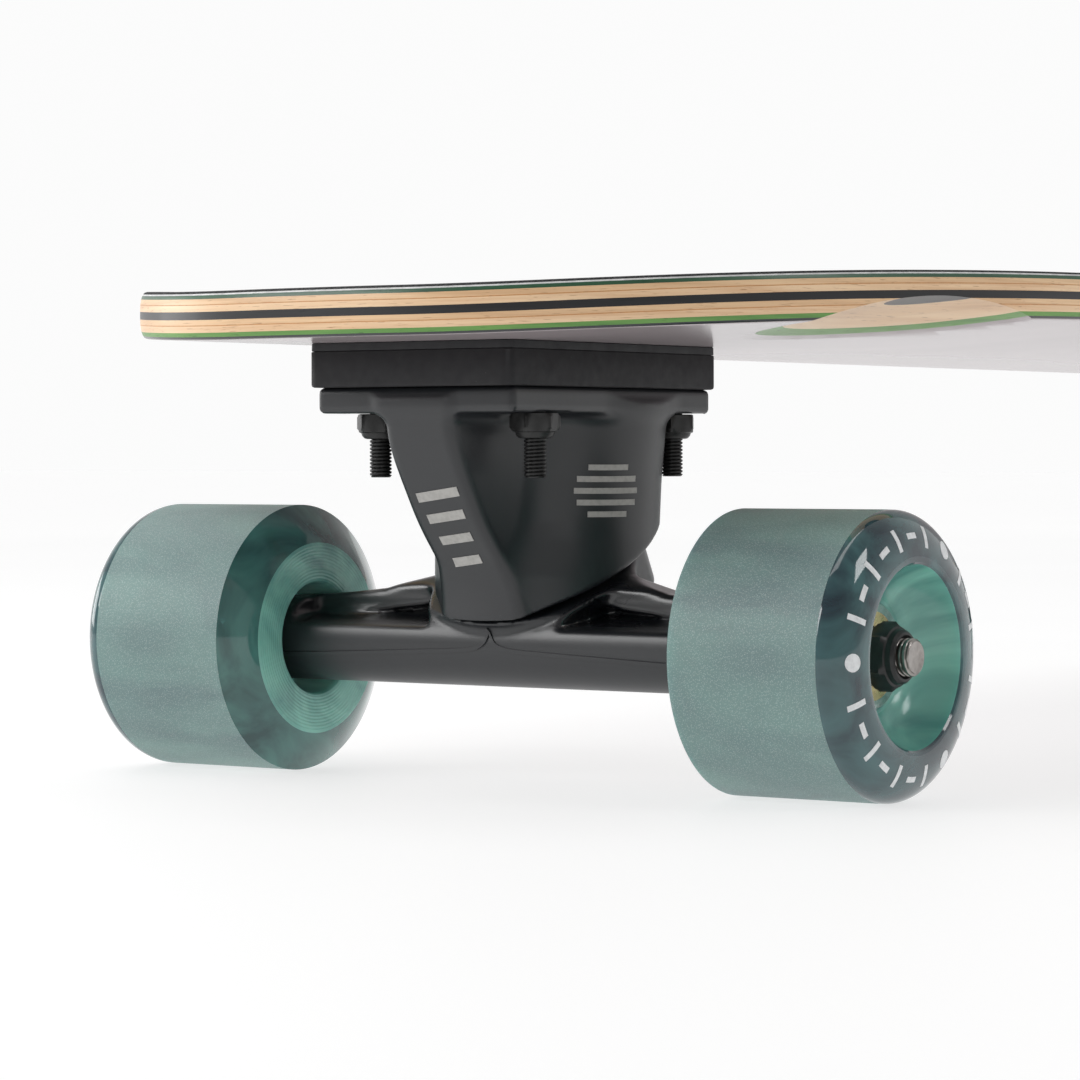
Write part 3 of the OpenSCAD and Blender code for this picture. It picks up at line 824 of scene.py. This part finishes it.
def axle_nuts_mesh():
    parts = []
    for side, twist in ((-1, 0.2), (1, 0.42)):
        turn = Matrix.Translation((0, 0, AXLE_Z)) @ Matrix.Rotation(-side * math.pi / 2, 4, "X")
        turn = turn @ Matrix.Translation((0, 0, AXLE_NUT_Y)) @ Matrix.Rotation(twist, 4, "Z")
        parts.append(moved(hex_nut(AXLE_NUT_AF, AXLE_NUT_H, 2.0, AXLE_R), turn))
    return mesh_from("axle_nuts", *join(parts), 30)


def deck_bolts_mesh():
    """Countersunk bolts with hexagon sockets, threaded below the truck's flange."""
    socket_af, socket_depth = 3.2, 1.9
    top = DECK_TOP - 0.15
    corner = socket_af / 2 / math.cos(TAU / 12)
    head = [(BOLT_R - 0.05, HOUSING_UNDER - 1), (BOLT_R - 0.05, top - HEAD_H), (HEAD_R, top - 0.3),
            (HEAD_R, top - 0.1), (HEAD_R - 0.15, top), (corner + 0.25, top)]
    socket = [(corner, top - 0.2), (corner, top - socket_depth), (0.0, top - socket_depth - 0.5)]
    rim = revolve(head, 72)
    hollow = revolve([(corner + 0.25, top)] + socket, 72,
                     lambda r, z, a: np.full(72, r) if z == top else hexagon(socket_af)(r, z, a))
    flip = Matrix.Rotation(math.pi, 4, "X")
    lower = moved(threaded_end(BOLT_R, 0.42, BOLT_PITCH, -(HOUSING_UNDER - 1), -BOLT_TIP_Z), flip)
    parts = []
    for n, (x, y) in enumerate(BOLT_PLACES):
        spin = Matrix.Translation((x, y, 0)) @ Matrix.Rotation(0.3 * n, 4, "Z")
        parts.append(moved(join([rim, hollow, lower]), spin))
    return mesh_from("deck_bolts", *join(parts), 40)


def deck_nuts_mesh():
    """Lock nuts under the flange, collars down."""
    flip = Matrix.Rotation(math.pi, 4, "X")
    parts = []
    for n, (x, y) in enumerate(BOLT_PLACES):
        spin = Matrix.Rotation(math.radians(13.6 + 17 * (n % 3)), 4, "Z")
        turn = Matrix.Translation((x, y, HOUSING_UNDER)) @ spin @ flip
        parts.append(moved(hex_nut(DECK_NUT_AF, DECK_NUT_H, 1.5, BOLT_R), turn))
    return mesh_from("deck_nuts", *join(parts), 30)


# ---- Truck castings ----

FLANGE = ((-40.5, -26, HOUSING_UNDER), (37, 26, FLANGE_TOP))
PAD_T = 7.8
RISER_BOX = ((-42.5, -26.8, FLANGE_TOP), (39.6, 26.8, DECK_BOTTOM))
TOWER_X = STEER_ORIGIN[0]
TOWER_RADII = ([36, 54, 67, 81], [25.2, 25.2, 25.8, 27])
NOSE_HALF = 8.9
NOSE_DRAFT = 0.2
NOSE_FRONT = ([30, 40, 46, 50, 57.6, 65.2, 70, 74, 78, 88],
              [9, 11, 14.5, 18.3, 24.8, 29.6, 32.6, 34.7, 36, 36.4])
CAVITY_R = 16
BOSS_R = 21.5
BEAM_R = 9.5
FACE_GAP = 1.2
POCKET_Z = 34.6
POCKET_SLOPE = 0.85
CAST_STEP = 0.6


def steering_place(p):
    """Height along the steering axis above the housing's slanted face, and distance from it."""
    rel = p - STEER_ORIGIN
    height = rel @ STEER_AXIS
    return height, np.sqrt(np.maximum((rel ** 2).sum(1) - height ** 2, 0))


def upright(p, x, y, r):
    return np.hypot(p[:, 0] - x, p[:, 1] - y) - r


def housing_field(p):
    """Flange, round tower and nose panel, cut by the slanted face and hollow for the bushing."""
    x, y, z = p.T
    tower = upright(p, TOWER_X, 0, 0) - np.interp(z, *TOWER_RADII)
    front = sum(np.interp(z + d, *NOSE_FRONT) for d in (-3, -1.5, 0, 1.5, 3)) / 5
    cheek = np.abs(y) - NOSE_HALF - NOSE_DRAFT * np.maximum(front - x, 0)
    nose = smooth_both(cheek, (x - front) / 1.3, 2.4)
    nose = smooth_both(nose, TOWER_X - x, 1)
    body = smooth_union(tower, nose, np.interp(z, [46, 58], [9, 4.5]))
    body = smooth_both(body, z - HOUSING_UNDER - 2, 0.5)
    height, out = steering_place(p)
    body = smooth_both(body, -height, 1.0)
    body = smooth_union(body, rounded_box(p, *FLANGE, 1.3), 3.5)
    for bx, by in BOLT_PLACES:
        around = np.maximum(upright(p, bx, by, 7.6), z - HOUSING_UNDER)
        body = smooth_cut(body, around, 0.9)
    hollow = np.maximum(out - CAVITY_R, height - 19)
    return smooth_cut(body, hollow, 1.0)


def hanger_field(p):
    """Beam, web, boss round the steering axis and pockets."""
    x, y, z = p.T
    away = np.abs(y)
    height, out = steering_place(p)
    beam = smooth_both(np.hypot(x, z - AXLE_Z) - BEAM_R, away - HANGER_HALF, 0.8)
    web_top = np.interp(away, [0, 20, 27, 38, 50, 62], [46, 46, 45.2, 42.2, 40.8, 39.6])
    web = smooth_both(np.maximum(x + 2.5, -12.5 - x), smooth_both(z - web_top, 27 - z, 1), 2.2)
    web = smooth_both(web, away - 63, 3)
    body = smooth_union(beam, web, 3)
    neck = np.interp(height, [-21, -12.5, 0], [13, BOSS_R, BOSS_R])
    boss = smooth_both(out - neck, -20 - height, 2)
    body = smooth_union(body, boss, 7)
    flare = np.interp(height, [-14, -5, -1], [17, 25.5, 29.3])
    saddle = smooth_both((out - flare) / 1.3, -4 - x, 3)
    saddle = smooth_both(saddle, -13 - height, 2)
    body = smooth_union(body, saddle, 2.2)
    floor = 34.7 + 0.15 * (8.6 - x)
    inner_end = 17 + POCKET_SLOPE * np.maximum(z - POCKET_Z, 0)
    ends = smooth_both(inner_end - away, away - 57, 1)
    pocket = smooth_both(smooth_both(-2.5 - x, floor - z, 3), ends, 3)
    body = smooth_cut(body, pocket, 1.1)
    rib = np.interp(away, [14, 18, 27, 35, 50, 58], [41.6, 40.1, 38.3, 37.5, 35.6, 34.8])
    groove = smooth_both(smooth_both(-7.2 - x, z - rib, 2.5), smooth_both(floor - z, away - 55, 1), 1.5)
    groove = smooth_both(groove, inner_end - away, 3)
    body = smooth_cut(body, groove, 1.3)
    body = smooth_both(body, height + FACE_GAP, 1.0)
    nut_well = np.maximum(out - 9.2, height + 15)
    body = smooth_cut(body, nut_well, 0.6)
    spigot = np.maximum(out - 8.4, np.maximum(height - 16.4, -12 - height))
    return np.minimum(body, spigot)


def in_pocket(p):
    """1 for the faces inside the hanger's pockets and on its web: glossier paint, coloured a little
    darker as painted shade.
    """
    return int(p[2] > POCKET_Z + 0.5 and abs(p[1]) > 15 + POCKET_SLOPE * max(p[2] - POCKET_Z, 0))


def casting_mesh(name, field, margin, sharp, material_of=None):
    """A field's surface within its CAD node's box and a margin."""
    low, high = (corner - [TRUCK_X, 0, 0] for corner in corners("front_" + name))
    made = surface_of(field, low - margin, high + margin, CAST_STEP)
    return mesh_from(name, *made, sharp, material_of)


def riser_mesh():
    """Thick moulded pad with a thin one on top, and a fine groove where they meet."""
    (x0, y0, z0), (x1, y1, z1) = RISER_BOX
    corner = 2.6
    per_corner = 10
    seam = z0 + PAD_T
    rows = [(0.5, z0), (0.12, z0 + 0.2), (0.0, z0 + 0.6), (0.0, seam - 0.25), (0.12, seam - 0.08),
            (0.5, seam), (0.12, seam + 0.06), (0.06, seam + 0.2), (0.1, z1 - 0.15), (0.3, z1)]
    verts = []
    for inset, z in rows:
        r = corner - inset * 0.5
        for cx, cy, start in ((x1, y1, 0), (x0, y1, 1), (x0, y0, 2), (x1, y0, 3)):
            for a in np.linspace(0, math.pi / 2, per_corner) + start * math.pi / 2:
                mx = cx - math.copysign(inset + r, cx) + r * math.cos(a)
                my = cy - math.copysign(inset + r, cy) + r * math.sin(a)
                verts.append((mx, my, z))
    around = 4 * per_corner
    faces = grid_faces(len(rows), around)
    faces.append(tuple(range(around)))
    faces.append(tuple(range(len(verts) - around, len(verts))))
    return mesh_from("riser", verts, faces, 40)


PATCH_COLUMNS = 4
PATCH_ROUNDS = 6
PATCH_SINK = 0.3


def decal(field, points, thickness=0.12):
    """A thin closed patch on a field's surface, from rows of points near it."""
    top = onto_surface(field, points, PATCH_ROUNDS, thickness)
    under = onto_surface(field, points, PATCH_ROUNDS, -PATCH_SINK)
    rows = len(points) // PATCH_COLUMNS
    return np.concatenate([top, under]), shell_faces(rows, PATCH_COLUMNS)


def bar_points(centre, along, across, length, width, slant=0.0, rows=9):
    """A grid over a slanted bar, given the two directions that it lies in."""
    made = []
    for s in np.linspace(-0.5, 0.5, rows):
        for t in np.linspace(-0.5, 0.5, PATCH_COLUMNS):
            made.append(centre + along * s * length + across * (t * width + slant * s * length))
    return np.array(made)


def truck_marks_mesh():
    """Plain silver bars on the nose panel and a plain striped disc on each side of the tower."""
    parts = []
    for n in range(4):
        z = 49.5 + 4.8 * n
        centre = np.array([np.interp(z, *NOSE_FRONT), 0.4, z])
        slope = np.array([0.69, 0, 0.72])
        points = bar_points(centre, np.array([0, 1.0, 0]), slope, 7.6 + 1.3 * n, 2.4, 0.16)
        parts.append(decal(housing_field, points))
    radius = 6.4
    for side in (-1, 1):
        angle = math.radians(side * 66)
        centre = np.array([TOWER_X + 26 * math.cos(angle), 26 * math.sin(angle), 64.5])
        across = np.array([-math.sin(angle), math.cos(angle), 0])
        up = np.array([0, 0, 1.0])
        for n in range(5):
            level = (n - 2) * radius * 0.4
            half = 1.35 * math.sqrt(radius ** 2 - level ** 2)
            points = bar_points(centre + up * level, across, up, 2 * half, 1.25)
            parts.append(decal(housing_field, points))
    return mesh_from("truck_marks", *join(parts), 40)


def parting_line_mesh():
    """The mould's fine raised line along the front of the beam, with a peak at its middle."""
    points = []
    for y in np.sinh(np.linspace(-4.2, 4.2, 121)) / math.sinh(4.2) * 62:
        z = 29.6 - 0.055 * abs(y) + 3.6 * math.exp(-abs(y) / 1.8)
        points += [(11, y, z + t) for t in (-0.5, -0.2, 0.2, 0.5)]
    return mesh_from("parting_line", *decal(hanger_field, np.array(points), 0.3), 40)


def build_trucks():
    housing = casting_mesh("housing", housing_field, 2, 50)
    hanger = casting_mesh("hanger", hanger_field, 3, 60, in_pocket)
    riser, marks, parting = riser_mesh(), truck_marks_mesh(), parting_line_mesh()
    axle, axle_nuts = axle_mesh(), axle_nuts_mesh()
    bolts, nuts = deck_bolts_mesh(), deck_nuts_mesh()
    for name, end in (("front", 1), ("rear", -1)):
        at = truck_place(end)
        own = name + "_hanger"

        def put(part, mesh, body, looks, node=True):
            nodes = [f"{name}_{part}"] if node else []
            place(f"{name}_{part}_look", mesh, body, looks, nodes, at)

        put("riser", riser, "deck", [RISER])
        put("housing", housing, "deck", [PAINT])
        put("marks", marks, "deck", [SILVER_INK], node=False)
        put("hanger", hanger, own, [PAINT, PAINT_GLOSS_SHADE])
        put("parting_line", parting, own, [PAINT], node=False)
        put("axle", axle, own, [AXLE_STEEL])
        put("axle_nuts", axle_nuts, own, [BLACK_STEEL])
        put("deck_bolts", bolts, "deck", [BLACK_STEEL])
        put("deck_nuts", nuts, "deck", [BLACK_STEEL])


# ---- Wheels ----

LIP_R = 19.1
DOME_R = 20.3
SEAT_R = 11
BORE_R = 9.6
OUTER_FACE = 91.5 - WHEEL_Y
INNER_FACE = 67.5 - WHEEL_Y
BEARING_W = 7
WHEEL_STEPS = 192
MARK_RISE = 0.07
MARK_SINK = 0.4


def side_height(r):
    """Height of a wheel's outer side above mid tread at a radius."""
    out = np.clip((r - DOME_R) / (WHEEL_R - DOME_R), 0, 1)
    return TREAD_HALF + OUTER_BULGE * np.sqrt(1 - out ** 2)


def wheel_profile():
    """Tread, outer side, hub cavity, bearing seats, bore and inner side, as (radius, height)."""
    bulge = np.linspace(0, 1, 25)
    tread = [(WHEEL_R, z) for z in np.linspace(-TREAD_HALF, TREAD_HALF, 13)]
    dome = DOME_R + (WHEEL_R - DOME_R) * np.cos(bulge[1:] * math.pi / 2)
    outer = [(r, side_height(r)) for r in dome]
    top = TREAD_HALF + OUTER_BULGE
    lip = [(LIP_R + 0.6, top - 0.12), (LIP_R + 0.15, top - 0.5), (LIP_R - 0.05, top - 1.1)]
    start, end = np.array([LIP_R - 0.1, top - 1.3]), np.array([13.2, OUTER_FACE + 0.9])
    bend = np.array([17.0, OUTER_FACE + 2.3])
    t = np.linspace(0, 1, 14)[:, None]
    bowl = (1 - t) ** 2 * start + 2 * t * (1 - t) * bend + t ** 2 * end
    seat = [(12.4, OUTER_FACE + 0.3), (12.1, OUTER_FACE), (SEAT_R + 0.35, OUTER_FACE - 0.05),
            (SEAT_R, OUTER_FACE - 0.4), (SEAT_R, OUTER_FACE - BEARING_W),
            (BORE_R, OUTER_FACE - BEARING_W), (BORE_R, INNER_FACE + BEARING_W),
            (SEAT_R, INNER_FACE + BEARING_W), (SEAT_R, INNER_FACE), (12.2, INNER_FACE - 0.8)]
    back = -TREAD_HALF - INNER_BULGE
    inner_lip = [(12.6, back + 1.1), (12.8, back + 0.6), (13.1, back + 0.2), (13.6, back),
                 (FLAT_R, back)]
    inner = []
    for s in bulge[-2:0:-1]:
        out = INNER_BULGE * (0.6 * s + 0.4 * math.sin(s * math.pi / 2))
        inner.append((FLAT_R + (WHEEL_R - FLAT_R) * (1 - s), -TREAD_HALF - out))
    return tread + outer + lip + [tuple(p) for p in bowl] + seat + inner_lip + inner


def wheel_look(p):
    """0 for the tread, 1 for the outer side, 2 for the inner ring and the cavities, 3 for the
    coned part of the inner side."""
    r = math.hypot(p[0], p[1])
    if r > WHEEL_R - 0.05 and abs(p[2]) < TREAD_HALF:
        return 0
    if p[2] < -TREAD_HALF and r > FLAT_R + 0.2:
        return 3
    return 1 if p[2] > TREAD_HALF and r > LIP_R + 0.3 else 2


def wheel_mesh():
    return mesh_from("wheel", *revolve(wheel_profile(), WHEEL_STEPS, closed=True), 28, wheel_look)


def side_patch(rows):
    """A thin closed patch on the outer side, from rows of (radius, angle) points."""
    top, under = [], []
    for row in rows:
        for r, a in row:
            flat = (r * math.cos(a), r * math.sin(a))
            top.append((*flat, side_height(r) + MARK_RISE))
            under.append((*flat, side_height(r) - MARK_SINK))
    return np.array(top + under), shell_faces(len(rows), len(rows[0]))


def radial_bar(angle, inner, outer, width):
    """A bar of even width that points to the hub."""
    rows = []
    for r in np.linspace(inner, outer, 7):
        rows.append([(r, angle + t * width / r) for t in (-0.5, -0.17, 0.17, 0.5)])
    return side_patch(rows)


def ring_arc(angle, span, inner, outer):
    rows = []
    for a in np.linspace(angle - span / 2, angle + span / 2, max(6, int(span * 20))):
        rows.append([(r, a) for r in np.linspace(inner, outer, 4)])
    return side_patch(rows)


def round_dot(angle, radius, size):
    """A disc, made as a grid whose rows shrink towards two ends."""
    rows = []
    for s in np.linspace(-0.98, 0.98, 13):
        half = math.sqrt(1 - s * s) * size
        rows.append([(radius + t * half, angle + s * size / radius) for t in np.linspace(-1, 1, 7)])
    return side_patch(rows)


def wheel_marks_mesh():
    """Plain white marks round the outer side: three dots, with bars and arcs between them."""
    parts = []
    for third in range(3):
        start = third * TAU / 3
        parts.append(round_dot(start, 25.2, 1.9))
        for n in range(7):
            angle = start + math.radians(20 + 13.3 * n)
            if n % 2 == 0:
                parts.append(radial_bar(angle, 22.8, 27.4, 1.25))
            else:
                parts.append(ring_arc(angle, math.radians(8), 24.6, 25.8))
    return mesh_from("wheel_marks", *join(parts), 40)


def build_wheels():
    wheel, marks = wheel_mesh(), wheel_marks_mesh()
    for end_name, end in (("front", 1), ("rear", -1)):
        for side_name, side in (("left", 1), ("right", -1)):
            body = f"{end_name}_{side_name}_wheel"
            at = wheel_place(end, side)
            place(body + "_look", wheel, body, [TREAD, SIDE, BOWL, CONE], [body], at)
            place(body + "_marks", marks, body, [INK], [], at)


def finish_cad_nodes():
    """Better materials for the CAD nodes that stay in view."""
    looks = {"kingpin": BLACK_STEEL, "kingpin_nut": BLACK_STEEL, "steering_bushing": BUSHING,
             "thrust_washer": BRONZE, "speed_washers": BRIGHT_STEEL, "bearing_spacers": BRIGHT_STEEL,
             "bearing_inner_rings": BRIGHT_STEEL, "outer_rings": BRIGHT_STEEL, "shields": BRASS,
             "balls": BRIGHT_STEEL}
    for name, piece in frame["nodes"].items():
        ending = next((e for e in looks if name.endswith(e)), None)
        if ending:
            piece.data.materials.clear()
            piece.data.materials.append(looks[ending])


# ---- Studio ----

CAMERA_AT = np.array([687.344, 483.949, 72.625])
CAMERA_YAW = math.radians(34.7488)
CAMERA_PITCH = math.radians(-1.2996)
CAMERA_ROLL = math.radians(-0.0994)
CAMERA_LENS = 126.686
SENSOR = 36
BACKDROP = (-0.82, -0.57, 0)
# The sky's brightness by the cosine of the angle to the backdrop, and to straight up.
BACKDROP_LEVELS = ((-1, 0.34), (-0.2, 0.42), (0.6, 0.9), (0.85, 1))
OVERHEAD_LEVELS = ((0.12, 1), (0.5, 0.75), (0.9, 0.55))
# The floor glows more with the distance from its middle, so that it meets the sky evenly.
FLOOR_REACH = 12
FLOOR_GLOW = (0.69, 0.765)
GLOW_REACH = (0.6, 2.6)


def build_camera():
    """The camera stands outboard of the front truck on the left, just below deck height."""
    forward = np.array([-math.cos(CAMERA_YAW) * math.cos(CAMERA_PITCH),
                        -math.sin(CAMERA_YAW) * math.cos(CAMERA_PITCH), math.sin(CAMERA_PITCH)])
    right = np.cross(forward, [0, 0, 1])
    right /= np.linalg.norm(right)
    up = np.cross(right, forward)
    c, s = math.cos(CAMERA_ROLL), math.sin(CAMERA_ROLL)
    right, up = c * right + s * up, c * up - s * right
    data = bpy.data.cameras.new("camera")
    data.lens = CAMERA_LENS
    data.sensor_width = SENSOR
    data.clip_start, data.clip_end = 0.02, 60
    camera = add_object("camera", data)
    turn = Matrix([right, up, -forward]).transposed().to_4x4()
    where = (CAMERA_AT + [TRUCK_X, 0, 0]) * MM
    camera.matrix_world = Matrix.Translation(where) @ turn
    bpy.context.scene.camera = camera


def softbox(name, at, aim, size, power):
    data = bpy.data.lights.new(name, "AREA")
    data.shape = "RECTANGLE"
    data.size, data.size_y = size
    data.energy = power
    lamp = add_object(name, data)
    lamp.location = at
    lamp.rotation_mode = "QUATERNION"
    lamp.rotation_quaternion = (Vector(aim) - Vector(at)).to_track_quat("-Z", "Y")


def sky(world):
    """Bright towards the backdrop, darker behind the camera and overhead."""
    n = Nodes(world.node_tree, "Generated")
    bands = []
    for toward, levels in ((BACKDROP, BACKDROP_LEVELS), ((0, 0, 1), OVERHEAD_LEVELS)):
        cosine = n.vector_math("DOT_PRODUCT", toward)
        stops = [((at + 1) / 2, grey(level)) for at, level in levels]
        bands.append(n.ramp(n.span(cosine, 0, 1, start=-1), *stops))
    background = n.tree.nodes["Background"]
    n.link(n.blend(1, *bands, "MULTIPLY"), background.inputs["Color"])
    background.inputs["Strength"].default_value = 0.97


def build_studio():
    world = bpy.data.worlds.new("studio")
    bpy.context.scene.world = world
    world.use_nodes = True
    sky(world)
    mesh = bpy.data.meshes.new("floor")
    corners = [(x * FLOOR_REACH, y * FLOOR_REACH, 0) for x, y in ((-1, -1), (1, -1), (1, 1), (-1, 1))]
    mesh.from_pydata(corners, [], [(0, 1, 2, 3)])
    floor = add_object("floor", mesh)
    m = Look("floor_paper", grey(0.25), 0.6, Emission_Color=(1, 1, 1, 1))
    m.roughness(m.span(m.noise(4, 2), 0.55, 0.65))
    glow = m.span(m.vector_math("LENGTH"), *FLOOR_GLOW, *GLOW_REACH)
    m.link(glow, m.shader.inputs["Emission Strength"])
    mesh.materials.append(m.material)
    aim = (TRUCK_X * MM, 0, 0.05)
    softbox("side_softbox", (-0.05, 1.25, 1.0), aim, (0.4, 0.5), 3.4)
    softbox("top_softbox", (0.3, -0.6, 1.6), aim, (1.4, 1.4), 13)
    softbox("key_softbox", (1.45, -0.95, 0.8), aim, (0.9, 0.6), 11)
    softbox("back_softbox", (0.5, -1.6, 0.35), aim, (0.8, 0.5), 4)
    bpy.context.scene.view_settings.view_transform = "Standard"


# ---- The whole board ----

build_camera()
build_deck()
build_trucks()
build_wheels()
finish_cad_nodes()
build_studio()
